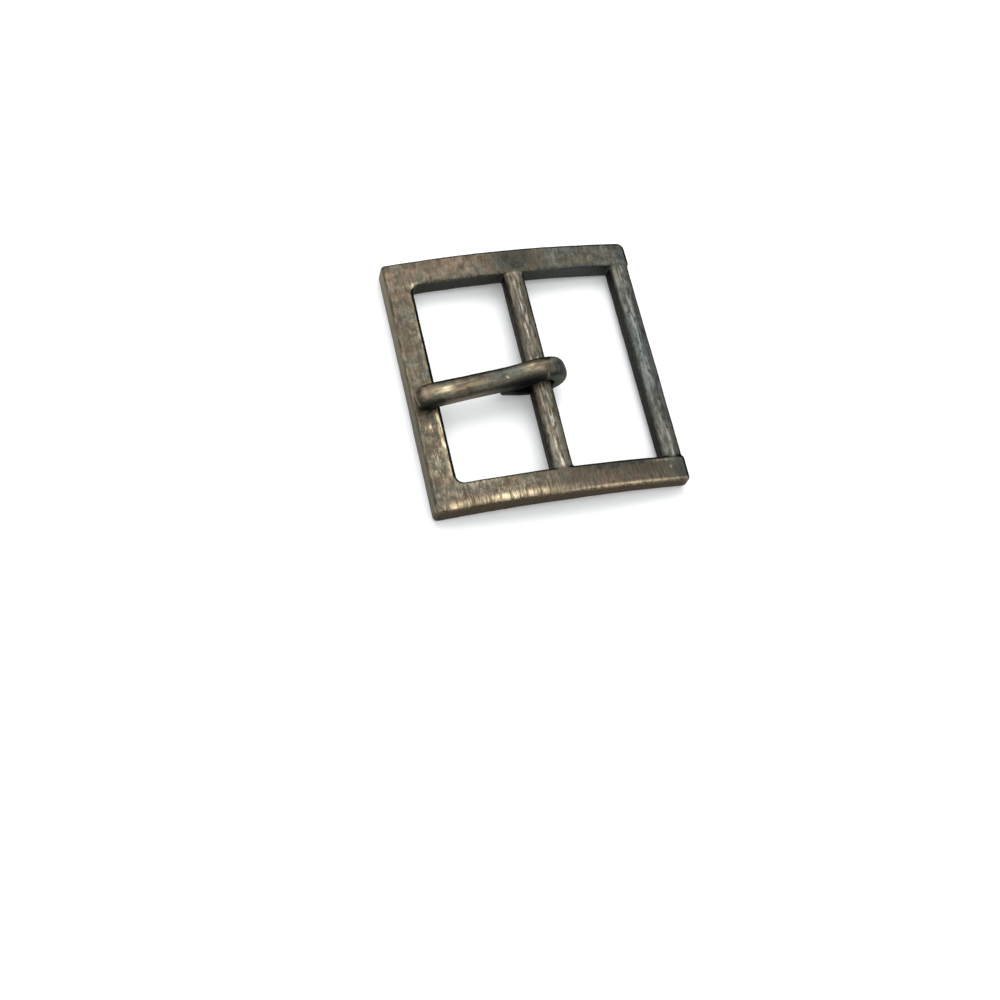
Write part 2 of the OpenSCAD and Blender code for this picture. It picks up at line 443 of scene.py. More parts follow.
# Bright nicks and painted glints, among them a painted highlight line along the near rail's outer edge
SPECKS_AND_GLINTS = [
    (-13.83, -5.6, 0.12, 0.25, 0.8),
    (13.21, -14.33, 0.1, 0.12, 0.5),
    (-13.2, -15.86, 0.3, 0.12, 0.5),
    (8.5, -15.88, 6.5, 0.12, 0.3),
]
COOL = [
    (13.9, 1.0, 1.6, 14.0, 1.0),
    (15.0, 14.0, 2.5, 3.0, 0.8),
    (8.0, 15.0, 5.0, 1.5, 0.4),
    (9.0, 12.9, 6.0, 0.6, 0.9),
    (14.5, -15.5, 1.5, 1.5, 0.6),
]
FRAME_SPOTS = {"rubbed": RUBBED_AND_HIGHLIT, "reddish": REDDISH, "darkened": DARKENED_AND_SHADED, "flecked": FLECKED,
               "specks": SPECKS_AND_GLINTS, "cool": COOL}


def soft_spots(flat_points, spots):
    """How much each point lies in the spots: the strongest counts where they overlap."""
    total = np.zeros(len(flat_points))
    for x, y, reach_x, reach_y, strength in spots:
        away = ((flat_points[:, 0] - x) / reach_x) ** 2 + ((flat_points[:, 1] - y) / reach_y) ** 2
        total = np.maximum(total, strength * np.exp(-away))
    return total


print("spots of the frame:", {name: len(spots) for name, spots in FRAME_SPOTS.items()})

# %% [markdown]
# The bars were rubbed along their length, so they carry long broken streaks and
# pits, most of them along the crown, where the streaks are also a painted
# highlight. One mask marks the bars and another their crowns. The frame's outer
# walls are handled, so the front one is brown, but dimmer on its near half, and
# the side ones are dark brown. Two more masks tell them from the inner walls.
# All of them come from a point's place on the flat frame, so their borders are
# as exact as the frame's own.

# %% The masks of bars, crowns and outer walls
# Over how much of its ends a bar's mask fades
BAR_MASK_END = 0.4
CROWN_HIGHLIGHT_REACH = 0.3
# How far in from the outline a wall's mask reaches
OUTER_DEPTH = 0.45
# How brown the near half of the front wall is, and from which y, and over how much, it gains
FRONT_DIM, DIM_FROM, DIM_OVER = 0.6, -2.0, 8.0


def bar_tops(flat_points):
    """1 on the bars between the side rails, and 0 on the rails."""
    inside = np.clip((open_y - np.abs(flat_points[:, 1])) / BAR_MASK_END + 0.5, 0, 1)
    beside = np.clip((flat_points[:, 0] + open_x) / BAR_MASK_END - 1, 0, 1)
    return inside * beside


def crown_highlights(flat_points):
    """1 along the middle of each bar, where its streaks are also a painted highlight, fading out to its
    sides.
    """
    away = np.min([np.abs(flat_points[:, 0] - x) for x in bar_places.values()], axis=0)
    return np.exp(-(away / CROWN_HIGHLIGHT_REACH) ** 2)


def near_outline(distance):
    """1 at the outline, and 0 where the distance to it is more than the walls' depth."""
    return np.clip(2 - 2 * distance / OUTER_DEPTH, 0, 1)


def handled(flat_points):
    """How brown handling has left the front wall: less on its near half."""
    return FRONT_DIM + (1 - FRONT_DIM) * np.clip((flat_points[:, 1] - DIM_FROM) / DIM_OVER, 0, 1)


print("points on the bars:", int((bar_tops(flat) > 0.5).sum()), "of", len(flat))

# %% [markdown]
# The rear and the far side are the lee side: the rolled edges that face it are
# painted black, as painted shade. An upright wall there is painted only dark,
# so it counts for less than a rolled edge does. Two more places are painted
# black as shade, a thin line along the opening's front edge and a stroke by the
# near front corner. They join the same value, which is the cheapest way to
# give them the same painted shade.

# %% The lee side
LEE = Vector((0.8, 0.6, 0)).normalized()
# How much a wall that faces the lee side counts, and the upward lean at which an edge counts in full
LEE_WALL, ROLLED_UP = 0.22, 0.3
EDGE_LINE = 0.3
# A painted black stroke of shade by the near front corner
FRAME_BLACK_SHADE = [(-14.5, -15.95, 0.5, 0.12, 0.27)]


def inner_edge(flat_points):
    """1 along the opening's edge on the front rail, where a black line of shade is painted, fading out to
    both sides and at the corners.
    """
    along = np.clip((open_y - INNER_R / 2 - np.abs(flat_points[:, 1])) * 2 / INNER_R, 0, 1)
    return np.exp(-((flat_points[:, 0] + open_x) / EDGE_LINE) ** 2) * along


def lee_side(normals):
    """How far each point faces the lee side, which sets the painted shade there, less on upright walls
    than on rolled edges.
    """
    rolled = np.clip(normals[:, 2] / ROLLED_UP, 0, 1)
    return normals @ np.array(LEE) * (LEE_WALL + (1 - LEE_WALL) * rolled)


print("the lee side is towards", [round(v, 2) for v in LEE])

# %% [markdown]
# Now the frame is a finished piece: the mesh gets its bent points, and each
# mask and each kind of spot becomes an attribute of that mesh. Attributes suit
# this better than a painted image would: they need no unwrapping, and their
# detail is as fine as the mesh.

# %% Place the frame and store its masks
frame_piece = place(frame_mesh, "cast_frame", bent)
frame_normals = arrays(frame_mesh)[1]
# The painted black shade of the line and the stroke joins the lee side's, on faces that look up
painted_black_shade = np.maximum(inner_edge(flat), soft_spots(flat, FRAME_BLACK_SHADE))
painted_black_shade *= np.clip(2 * frame_normals[:, 2], 0, 1)
store(
    frame_mesh,
    flat=flat,
    edge=stand_out(frame_mesh, bent, frame_normals),
    up=frame_normals[:, 2],
    lee=np.maximum(lee_side(frame_normals), painted_black_shade),
    bar=bar_tops(flat),
    crown=crown_highlights(flat),
    front_wall=near_outline(half_x + flat[:, 0]) * handled(flat),
    side_wall=near_outline(half_y - np.abs(flat[:, 1])),
    **{name: soft_spots(flat, spots) for name, spots in FRAME_SPOTS.items()},
)
print("frame attributes:", [a.name for a in frame_mesh.attributes if not a.name.startswith(".")])

# %% [markdown]
# The prong is a short bar that a smith bends: straight over the front rail,
# humped over the centre bar, and closed underneath in a hook that thins
# towards its cut end. It is swept along a smooth curve through a few rows,
# each with the height of its middle line and the size of its section. The
# rows are the solid's own but for a rounder tip and a slightly thicker neck,
# so the piece fills the solid's place.

# %% The prong's rows
PRONG_REACH, PRONG_W, PRONG_T = 15.3, 2.6, 2.0
# How far the prong stands off the middle of the bar, and how far it is turned
PRONG_SHIFT, PRONG_YAW = -0.8, math.radians(6)
HOOK_R, HOOK_WALL = 1.521, 0.65
HOOK_MID = HOOK_R + HOOK_WALL / 2
HALF_W, HALF_T = PRONG_W / 2, PRONG_T / 2
# Each row: distance from the bar's axis, height above it, half thickness, half width
PRONG_ROWS = np.array([
    (-PRONG_REACH, 1.2, HALF_T * 0.42, HALF_W * 0.5),
    (-PRONG_REACH + 0.16, 1.22, HALF_T * 0.7, HALF_W * 0.77),
    (-PRONG_REACH + 0.6, 1.25, HALF_T * 0.92, HALF_W * 0.97),
    (-PRONG_REACH + 1.3, 1.34, HALF_T, HALF_W * 1.06),
    (-PRONG_REACH + 2.6, 1.48, HALF_T, HALF_W * 1.06),
    (-9.2, 1.52, HALF_T, HALF_W * 1.02),
    (-6.2, 1.52, HALF_T, HALF_W),
    (-4.2, 1.5, HALF_T * 1.08, HALF_W),
    (-2.4, 1.56, HALF_T * 1.22, HALF_W),
    (-0.9, 2.02, HALF_T * 0.97, HALF_W),
    (0.5, 2.06, HALF_T * 0.97, HALF_W),
    (1.68, 1.68, HALF_T, HALF_W),
    (2.35, 0.74, HALF_T, HALF_W),
    (2.32, -0.35, HALF_T * 0.88, HALF_W * 0.99),
    (1.55, -1.28, HALF_T * 0.6, HALF_W * 0.97),
    (0.5, 0.02 - HOOK_MID, HOOK_WALL * 0.55, HALF_W * 0.95),
    (-0.8, 0.14 - HOOK_MID, HOOK_WALL / 2, HALF_W * 0.93),
    (-2.4, -1.2, HOOK_WALL * 0.65, HALF_W * 0.92),
    (-3.8, -0.45, HOOK_WALL * 0.95, HALF_W * 0.92),
    (-4.65, -0.05, HOOK_WALL, HALF_W * 0.9),
])
ROW_STEPS = 8


def pulled(rows, steps):
    """A smooth curve through the rows (Catmull-Rom), with that many steps between each two."""
    padded = np.vstack([rows[:1], rows, rows[-1:]])
    line = []
    for i in range(len(rows) - 1):
        a, b, c, d = padded[i:i + 4]
        for t in np.arange(steps) / steps:
            line.append(0.5 * (2 * b + (c - a) * t + (2 * a - 5 * b + 4 * c - d) * t ** 2
                               + (3 * b - a - 3 * c + d) * t ** 3))
    return np.array(line + [rows[-1]])


prong_line = pulled(PRONG_ROWS, ROW_STEPS)
print("rings of the prong:", len(prong_line))

# %% [markdown]
# A ring of points stands square to the line at each step. Its section is a
# superellipse of two halves: the back is rounded and the inside nearly flat,
# because the blank was flattened before it was bent. Inside the hook the metal
# lies round the bar, so any point that falls within the bore is pushed out to
# its wall. That does the work of a Boolean cut and keeps an even mesh of
# four-sided faces.

# %% The prong's points
RING_POINTS = 40
BACK_POWER, INSIDE_POWER = 2.8, 5
# In how many steps the rings close over each end
END_RINGS = 4
angles = np.arange(RING_POINTS) * 2 * np.pi / RING_POINTS
powers = np.where(angles < np.pi, BACK_POWER, INSIDE_POWER)


def fuller(values):
    """Sines or cosines round the ring, raised so that the section is fuller than an ellipse."""
    return np.sign(values) * np.abs(values) ** (2 / powers)


way = np.gradient(prong_line[:, :2], axis=0)
way /= np.linalg.norm(way, axis=1)[:, None]
out = prong_line[:, 2:3] * fuller(np.sin(angles))
across = prong_line[:, 3:4] * fuller(np.cos(angles))
rings = np.stack([
    prong_line[:, :1] - way[:, 1:] * out,
    across,
    prong_line[:, 1:2] + way[:, :1] * out,
], axis=2)
shrink = np.linspace(1, 0, END_RINGS + 1)[1:-1, None, None]
caps = [ring.mean(0) + (ring - ring.mean(0)) * shrink for ring in (rings[0], rings[-1])]
rings = np.concatenate([caps[0][::-1], rings, caps[1]])
spin = Matrix.Rotation(PRONG_YAW, 3, "Z")
prong_flat = rings.reshape(-1, 3)
prong_points = prong_flat @ np.array(spin).T + (0, PRONG_SHIFT, 0)
from_bar = np.hypot(prong_points[:, 0], prong_points[:, 2])
push = np.maximum(HOOK_R / np.maximum(from_bar, TINY), 1)
prong_points[:, 0] *= push
prong_points[:, 2] *= push
prong_points += HINGE
print("points on the wall of the bore:", int((push > 1).sum()))

# %% [markdown]
# The points of neighbouring rings are joined by four-sided faces, and one face
# closes each end. A bmesh is the right tool for this, because it takes faces
# one by one and then turns all their normals outwards.

# %% The prong's mesh
bm = bmesh.new()
verts = [bm.verts.new(p) for p in prong_points]
for i in range(len(rings) - 1):
    for k in range(RING_POINTS):
        m = (k + 1) % RING_POINTS
        bm.faces.new([verts[i * RING_POINTS + j] for j in (k, m)]
                     + [verts[(i + 1) * RING_POINTS + j] for j in (m, k)])
bm.faces.new(verts[:RING_POINTS])
bm.faces.new(verts[-RING_POINTS:])
bmesh.ops.recalc_face_normals(bm, faces=bm.faces)
prong_mesh = bpy.data.meshes.new("bent_prong")
bm.to_mesh(prong_mesh)
bm.free()
print("prong:", len(prong_mesh.vertices), "points")

# %% [markdown]
# The prong's rubbed places are where a finger lifts it and where the strap
# drags: near the tip, and over the hump, where they are also painted
# highlights. Its strongest dark places, under the hump and along the tip's
# near side, are painted shade, and the cool spot on the nose of the hook is a
# painted reflection. They are soft spots as on the frame, set on the prong
# before it is shifted and turned on its bar.

# %% Rubbed, reddish and dark places of the prong
# Rubbed places, and painted highlights near the tip and over the hump
PRONG_RUBBED_AND_HIGHLIT = [
    (-11.9, -0.1, 1.0, 0.4, 1.0),
    (-14.4, 0.2, 0.8, 0.2, 0.25),
    (-8.5, -0.1, 2.0, 0.3, 0.2),
    (-1.2, 0.2, 1.0, 0.3, 0.55),
    (1.3, 0.5, 0.8, 0.25, 0.5),
]
PRONG_REDDISH = [(-8.0, 0.3, 2.5, 1.2, 0.7), (-14.3, 0.6, 1.0, 1.0, 0.8)]
# Dark places of the prong; the strongest, under the hump and along the tip's near side, are painted shade
PRONG_DARKENED_AND_SHADED = [
    (-4.5, -0.2, 2.6, 1.2, 0.25),
    (-8.0, 0.0, 2.5, 1.3, 0.3),
    (0.4, 1.0, 1.2, 0.4, 0.5),
    (-2.2, -1.3, 2.2, 0.45, 4.0),
    (-14.2, -1.3, 1.5, 0.4, 3.0),
]
PRONG_FLECKED = [(-11.0, 0.0, 3.0, 0.8, 0.2)]
# Bright nicks and painted glints of the prong
PRONG_SPECKS_AND_GLINTS = [(-4.43, -0.31, 0.14, 0.12, 0.45), (0.4, -1.15, 0.12, 0.12, 0.5)]
# A cool tint; on the nose of the hook it is a painted reflection of cool light
PRONG_COOL_AND_REFLECTED = [(2.4, 0.2, 1.2, 1.5, 1.4), (-5.5, 0.0, 2.2, 1.3, 0.5)]
# Painted black shade on the hook's tail under the shank
PRONG_BLACK_SHADE = [(-2.4, -1.4, 2.4, 0.35, 0.3)]
PRONG_SPOTS = {"rubbed": PRONG_RUBBED_AND_HIGHLIT, "reddish": PRONG_REDDISH, "darkened": PRONG_DARKENED_AND_SHADED,
               "flecked": PRONG_FLECKED, "specks": PRONG_SPECKS_AND_GLINTS, "cool": PRONG_COOL_AND_REFLECTED}
print("spots of the prong:", {name: len(spots) for name, spots in PRONG_SPOTS.items()})

# %% [markdown]
# The prong's sides are rounded, and they are painted lighter than the frame's
# walls, as painted light, on the shank and on the nose of the hook, though not
# where they turn under. The inside and the tail of the hook, and the inside of
# each section, are painted dark as painted shade. The prong was drawn
# lengthwise, so its x and y change places before the brush marks read them.

# %% Finish the prong
PRONG_UNEVEN = 0.8
# The row at the nose of the hook, behind which all is painted in shade, and the last row
NOSE_ROW, END_ROW = 13, len(PRONG_ROWS) - 1
# Where a section's back begins, by the sine of the angle round the ring, and how softly; the inside below
# it is painted in shade
BACK_FROM, BACK_OVER = -0.27, 0.3
SHANK_TO, SHANK_FADE = -5.0, 4.0
NOSE_FROM = 0.8
# How much lighter the prong's sides are painted, as painted light, and how fast that ends where they turn
# under
LIT_SIDES, UNLIT_BELOW = 0.65, 2.5
smooth_points, smooth_normals = arrays(prong_mesh)
prong_uneven = uneven(smooth_points, smooth_normals, share=PRONG_UNEVEN)
stay_out = np.hypot(*(prong_uneven - HINGE)[:, [0, 2]].T) < HOOK_R
prong_uneven[stay_out] = smooth_points[stay_out]
prong_piece = place(prong_mesh, "bent_prong", prong_uneven)
# Painted light on the shank's sides, which also take the front wall's brown
lit_shank = np.clip((SHANK_TO - prong_flat[:, 0]) / SHANK_FADE, 0, 1)
on_nose = np.clip(prong_flat[:, 0] - NOSE_FROM, 0, 1)
not_below = np.clip(1 + UNLIT_BELOW * smooth_normals[:, 2], 0, 1)
lit_sides = LIT_SIDES * np.maximum(lit_shank, on_nose) * not_below
ring_numbers = np.repeat(np.arange(len(rings)) - END_RINGS + 1, RING_POINTS)
ring_rows = np.clip(ring_numbers / ROW_STEPS, 0, END_ROW)
on_back = np.clip((np.tile(np.sin(angles), len(rings)) - BACK_FROM) / BACK_OVER, 0, 1)
# Painted shade: 0 inside the hook behind its nose and on the inside of each section
clear_of_painted_shade = np.clip(NOSE_ROW - ring_rows, 0, 1) * on_back
# The nose of the hook gets none of the lee side's painted shade
prong_lee = lee_side(smooth_normals) * (1 - on_nose)
none = np.zeros(len(prong_flat))
store(
    prong_mesh,
    flat=prong_flat[:, [1, 0, 2]],
    edge=stand_out(prong_mesh, prong_uneven, smooth_normals),
    # Painted light on the prong's sides and painted shade inside the hook, carried by the up value
    up=(smooth_normals[:, 2] + lit_sides * (1 - smooth_normals[:, 2])) * clear_of_painted_shade,
    lee=np.maximum(prong_lee, soft_spots(prong_flat, PRONG_BLACK_SHADE)),
    # On the prong the front wall's brown is painted light on the shank's sides
    front_wall=lit_shank,
    bar=none,
    crown=none,
    side_wall=none,
    **{name: soft_spots(prong_flat, spots) for name, spots in PRONG_SPOTS.items()},
)

# %% [markdown]
# Node groups keep the finish in one place: the frame and the prong use the
# same brushing, patina and wear with values of their own. A tiny builder
# shortens the wiring: it makes a node, sets its values and links its inputs.

# %% A small builder for shader nodes
# The sockets of the groups that carry more than a plain value
KINDS = {"Flat": "Vector", "Color": "Color"}


def make(tree, kind, settings=None, **inputs):
    """Adds a node. Settings are its properties, and an input is a value or another node's output."""
    node = tree.nodes.new(kind)
    for key, value in (settings or {}).items():
        setattr(node, key, value)
    for key, value in inputs.items():
        slot = node.inputs[int(key[1:])] if key[0] == "i" and key[1:].isdigit() else node.inputs[key]
        if isinstance(value, bpy.types.NodeSocket):
            tree.links.new(value, slot)
        else:
            slot.default_value = value
    return node


def math_node(tree, operation, a, b=0.0, clamp=False):
    """The result of one sum on two values."""
    settings = {"operation": operation, "use_clamp": clamp}
    return make(tree, "ShaderNodeMath", settings, i0=a, i1=b).outputs[0]


def vector_math(tree, operation, a, b):
    """The result of one sum on two vectors."""
    return make(tree, "ShaderNodeVectorMath", {"operation": operation}, i0=a, i1=b).outputs[0]


def noise_value(tree, point, scale=1.0, **inputs):
    """The value of a noise at a point."""
    return make(tree, "ShaderNodeTexNoise", Vector=point, Scale=scale, **inputs).outputs["Fac"]


def spread_out(tree, value, low, high):
    """The value's stretch from low to high, drawn out smoothly from 0 to 1."""
    settings = {"interpolation_type": "SMOOTHSTEP"}
    node = make(tree, "ShaderNodeMapRange", settings, Value=value, **{"From Min": low, "From Max": high})
    return node.outputs["Result"]


def mix_colour(tree, share, a, b, blend="MIX"):
    """Two colours mixed by a share."""
    settings = {"data_type": "RGBA", "blend_type": blend}
    return make(tree, "ShaderNodeMix", settings, i0=share, i6=a, i7=b).outputs[2]


def new_group(name, inputs, outputs):
    """An empty node group. Inputs are names with default values, and outputs only names."""
    tree = bpy.data.node_groups.new(name, "ShaderNodeTree")
    for way, sockets in (("INPUT", inputs), ("OUTPUT", outputs)):
        for socket in sockets:
            kind = "NodeSocket" + KINDS.get(socket, "Float")
            made = tree.interface.new_socket(socket, in_out=way, socket_type=kind)
            if way == "INPUT":
                made.default_value = inputs[socket]
    return tree, tree.nodes.new("NodeGroupInput").outputs, tree.nodes.new("NodeGroupOutput").inputs


print("sockets that aren't floats:", KINDS)

# %% [markdown]
# Brushing: the buckle was rubbed along its bars, so every scratch runs the
# same way, along y, across the side rails and along the front rail. A noise
# stretched along y makes such strokes. It is made at two sizes, one coarse and
# one fine, so that the strokes don't look ruled, and each is drawn out to its
# full contrast.

# %% Group: brush marks
# Each size: output, share of the full length and width
MARK_SIZES = (("Marks", 1.0), ("Fine", 0.5))
MARK_FROM, MARK_TO = 0.3, 0.7
inputs = {"Flat": (0, 0, 0), "Length": 1.6, "Width": 0.16}
brush, come, give = new_group("brush marks", inputs, ["Marks", "Fine"])
for output, share in MARK_SIZES:
    along_mark = math_node(brush, "DIVIDE", 1.0, math_node(brush, "MULTIPLY", come["Length"], share))
    across_mark = math_node(brush, "DIVIDE", 1.0, math_node(brush, "MULTIPLY", come["Width"], share))
    squeeze = make(brush, "ShaderNodeCombineXYZ", X=across_mark, Y=along_mark, Z=across_mark).outputs[0]
    stretched = vector_math(brush, "MULTIPLY", come["Flat"], squeeze)
    strokes = noise_value(brush, stretched, Detail=2.0, Distortion=0.5)
    brush.links.new(spread_out(brush, strokes, MARK_FROM, MARK_TO), give[output])
print("group:", brush.name)

# %% [markdown]
# Patina: the brown skin isn't even. It has cloudy patches of olive and of
# reddish brown a millimetre or two wide, smaller blotches, and a fine grain
# where the cast skin shows. Each is a noise at its own scale.

# %% Group: patina clouds
# Each size: output, share of the full size, detail, where it starts and is full, shift of the noise
CLOUD_SIZES = (
    ("Cloud", 1.0, 3.0, 0.34, 0.66, 0.0),
    ("Blotch", 0.4, 3.0, 0.32, 0.68, 7.3),
    ("Grain", 0.12, 2.0, 0.3, 0.72, 3.1),
)
inputs = {"Flat": (0, 0, 0), "Size": 1.8}
clouds, come, give = new_group("patina clouds", inputs, ["Cloud", "Blotch", "Grain"])
for output, share, detail, low, high, shift in CLOUD_SIZES:
    per_mm = math_node(clouds, "DIVIDE", 1.0, math_node(clouds, "MULTIPLY", come["Size"], share))
    moved = vector_math(clouds, "ADD", come["Flat"], (shift, shift, shift))
    cloud = noise_value(clouds, moved, per_mm, Detail=detail, Roughness=0.6)
    clouds.links.new(spread_out(clouds, cloud, low, high), give[output])
print("group:", clouds.name)

# %% [markdown]
# Wear: brass comes through where the shape stands out, and more where hands
# rub and where highlights are painted. The strokes break the edge of every
# worn place, so that it ends in short ticks as the real one does, and not in
# a smooth blur. Small flecks, each one a single scratch that reached the
# metal, lie about the flecked places, and the specks add bright nicks and
# painted glints.

# %% Group: worn brass
# How far up a surface has to face to wear as a face does, and how much less than an edge
FACE_FROM, FACE_TO, FACE_WEAR = 0.7, 0.95, 0.5
# How much of the wear the strokes don't break
UNBROKEN = 0.12
FLECK_FROM, FLECK_TO, FLECK_BLOTCH = 0.72, 1.0, 0.45
inputs = {
    "Edge": 0.0, "Up": 1.0, "Rubbed": 0.0, "Flecked": 0.0, "Specks": 0.0, "Marks": 0.5, "Fine": 0.5,
    "Blotch": 0.5, "Edge Low": 0.3, "Edge High": 1.3, "Amount": 1.0,
}
wear, come, give = new_group("worn brass", inputs, ["Wear"])
bare = spread_out(wear, come["Edge"], come["Edge Low"], come["Edge High"])
on_face = math_node(wear, "MULTIPLY", spread_out(wear, come["Up"], FACE_FROM, FACE_TO), FACE_WEAR)
worn_share = math_node(wear, "MULTIPLY", math_node(wear, "ADD", bare, on_face), come["Rubbed"])
broken = math_node(wear, "ADD", come["Marks"], UNBROKEN)
ticked = math_node(wear, "MULTIPLY", worn_share, broken)
ticked = math_node(wear, "MULTIPLY", ticked, come["Amount"])
in_blotch = math_node(wear, "ADD", come["Blotch"], FLECK_BLOTCH)
in_blotch = math_node(wear, "MULTIPLY", come["Fine"], in_blotch)
fleck = spread_out(wear, in_blotch, FLECK_FROM, FLECK_TO)
flecks = math_node(wear, "MULTIPLY", fleck, math_node(wear, "MULTIPLY", come["Flecked"], on_face))
flecks = math_node(wear, "ADD", flecks, come["Specks"])
wear.links.new(math_node(wear, "ADD", ticked, flecks, clamp=True), give["Wear"])
print("group:", wear.name)

# %% [markdown]
# Streaks: along the crown of each bar the skin is worn through in long, thin,
# broken lines with dark pits between them, and there the lines are also a
# painted highlight. One noise, stretched along y, makes the lines, and a
# shorter one breaks them and opens the pits.

# %% Group: bar streaks
STREAK_W, STREAK_LEN, STREAK_FROM, STREAK_TO = 0.34, 3.0, 0.42, 0.62
PIT_W, PIT_LEN, PIT_FROM, PIT_TO = 0.35, 1.2, 0.46, 0.3
# How strong the streaks still are beside the crown
OFF_CROWN = 0.25
inputs = {"Flat": (0, 0, 0), "Bar": 0.0, "Crown": 0.0}
bar_wear_and_highlight, come, give = new_group("bar streaks", inputs, ["Streaks", "Pits"])
squeeze = (1 / STREAK_W, 1 / STREAK_LEN, 1 / STREAK_W)
stretched = vector_math(bar_wear_and_highlight, "MULTIPLY", come["Flat"], squeeze)
lines = noise_value(bar_wear_and_highlight, stretched, Detail=2.0, Distortion=0.4)
line = spread_out(bar_wear_and_highlight, lines, STREAK_FROM, STREAK_TO)
squeeze = (1 / PIT_W, 1 / PIT_LEN, 1 / PIT_W)
stretched = vector_math(bar_wear_and_highlight, "MULTIPLY", come["Flat"], squeeze)
dots = noise_value(bar_wear_and_highlight, stretched, Detail=1.0)
pit = spread_out(bar_wear_and_highlight, dots, PIT_FROM, PIT_TO)
near_crown_highlight = math_node(bar_wear_and_highlight, "ADD", come["Crown"], OFF_CROWN, clamp=True)
on_bar = math_node(bar_wear_and_highlight, "MULTIPLY", near_crown_highlight, come["Bar"])
whole = math_node(bar_wear_and_highlight, "MULTIPLY", line, math_node(bar_wear_and_highlight, "SUBTRACT", 1.0, pit))
bar_wear_and_highlight.links.new(math_node(bar_wear_and_highlight, "MULTIPLY", whole, on_bar), give["Streaks"])
bar_wear_and_highlight.links.new(math_node(bar_wear_and_highlight, "MULTIPLY", pit, come["Bar"]), give["Pits"])
print("group:", bar_wear_and_highlight.name)

# %% [markdown]
# The colour and the roughness come together in one group, layer by layer: the
# brown of the faces with its clouds and reddish places, the dark skin of the
# walls, with painted shade on the bars' flanks, the black places, some of them
# painted shade, the brass that is worn through them, with some painted
# highlights, and last the painted black shade on the edges of the lee side.
# Worn metal is smoother than patina, and the lee side is the dullest of all.

# %% The colours of the finish
BROWN = (0.112, 0.087, 0.059, 1)
OLIVE = (0.078, 0.079, 0.061, 1)
RUST_BROWN = (0.118, 0.083, 0.06, 1)
# Near black: the patina's darkest, in pits and dark places, and painted shade
BLACK_PATINA_AND_SHADE = (0.032, 0.031, 0.026, 1)
GREEN_GREY = (0.062, 0.074, 0.07, 1)
WALL_SKIN = (0.048, 0.055, 0.047, 1)
# The front wall's brown, and painted light on the sides of the prong's shank
FRONT_AND_LIT_BROWN = (0.19, 0.165, 0.125, 1)
SIDE_BROWN = (0.05, 0.037, 0.022, 1)
# The bars' flanks: their dark skin with painted shade, near black
BAR_SKIN_AND_SHADE = (0.009, 0.009, 0.008, 1)
COOL_WALL = (0.06, 0.072, 0.066, 1)
# The bars' flanks where the cool tint is: dark skin with painted shade
COOL_BAR_SKIN_AND_SHADE = (0.022, 0.028, 0.026, 1)
# Painted shade: the near black of the edges that face the lee side
LEE_SHADE = (0.006, 0.009, 0.009, 1)
BRASS = (0.68, 0.54, 0.34, 1)
# Streak colours: worn metal, which along the bars' crowns is also a painted highlight
WORN_BAR_AND_HIGHLIGHT = (0.38, 0.345, 0.285, 1)
WORN_GREY_AND_HIGHLIGHT = (0.16, 0.168, 0.16, 1)
print("colours: faces", BROWN[:3], "walls", WALL_SKIN[:3], "worn", BRASS[:3])

# %% [markdown]
# The layers are laid over each other by Mix nodes. The brown of the faces is
# darkened or lightened a little by each noise, because a tone that varies
# looks more like metal than one flat brown does, and the upward lean of a
# surface tells a face from a wall. A bar is rounder than a rail, so its faces
# reach further round and its painted lee shade begins further round.

# %% Group: antique brass
# Each tone: mask, the tone where the mask is 0, and what the mask adds to it
TONES = (("Cloud", 0.84, 0.28), ("Marks", 0.77, 0.46), ("Blotch", 0.71, 0.58), ("Grain", 0.76, 0.46))
# Where a surface counts as facing up, and how much more a bar does
UP_FROM, UP_TO, BAR_UP = 0.45, 0.94, 0.25
# Where the painted shade of the lee side begins and is full, and how much less a bar gets
LEE_FROM, LEE_TO, BAR_LEE = 0.1, 0.32, 0.2
PIT_DARKNESS = 0.45
ROUGH, ROUGH_GRAIN, ROUGH_LEE, POLISH = 0.42, 0.16, 0.3, 0.12
NOISES = ("Cloud", "Blotch", "Grain", "Marks")
MASKS = ("Up", "Lee", "Bar", "Front Wall", "Side Wall", "Reddish", "Darkened", "Cool",
         "Streaks", "Pits", "Wear")
inputs = {**dict.fromkeys(NOISES, 0.5), **dict.fromkeys(MASKS, 0.0)}
antique, come, give = new_group("antique brass", inputs, ["Color", "Roughness"])


def toned(colour, value, floor_share, share):
    """The colour times floor_share + share * value."""
    tone = math_node(antique, "ADD", floor_share, math_node(antique, "MULTIPLY", value, share))
    grey = make(antique, "ShaderNodeCombineColor", Red=tone, Green=tone, Blue=tone).outputs[0]
    return mix_colour(antique, 1.0, colour, grey, "MULTIPLY")


def patchy(spot, floor_share):
    """A spot broken up by the blotches."""
    blotch = math_node(antique, "ADD", come["Blotch"], floor_share)
    return math_node(antique, "MULTIPLY", come[spot], blotch, clamp=True)


base = mix_colour(antique, come["Cloud"], BROWN, OLIVE)
base = mix_colour(antique, patchy("Reddish", floor_share=0.25), base, RUST_BROWN)
base = mix_colour(antique, come["Cool"], base, GREEN_GREY)
for name, floor_share, share in TONES:
    base = toned(base, come[name], floor_share, share)
worn_bar_and_highlight = mix_colour(antique, come["Cool"], WORN_BAR_AND_HIGHLIGHT, WORN_GREY_AND_HIGHLIGHT)
base = mix_colour(antique, come["Streaks"], base, worn_bar_and_highlight)
base = mix_colour(antique, math_node(antique, "MULTIPLY", come["Pits"], PIT_DARKNESS), base, BLACK_PATINA_AND_SHADE)
wall = mix_colour(antique, come["Cool"], WALL_SKIN, COOL_WALL)
wall = mix_colour(antique, come["Side Wall"], wall, SIDE_BROWN)
wall = mix_colour(antique, come["Front Wall"], wall, FRONT_AND_LIT_BROWN)
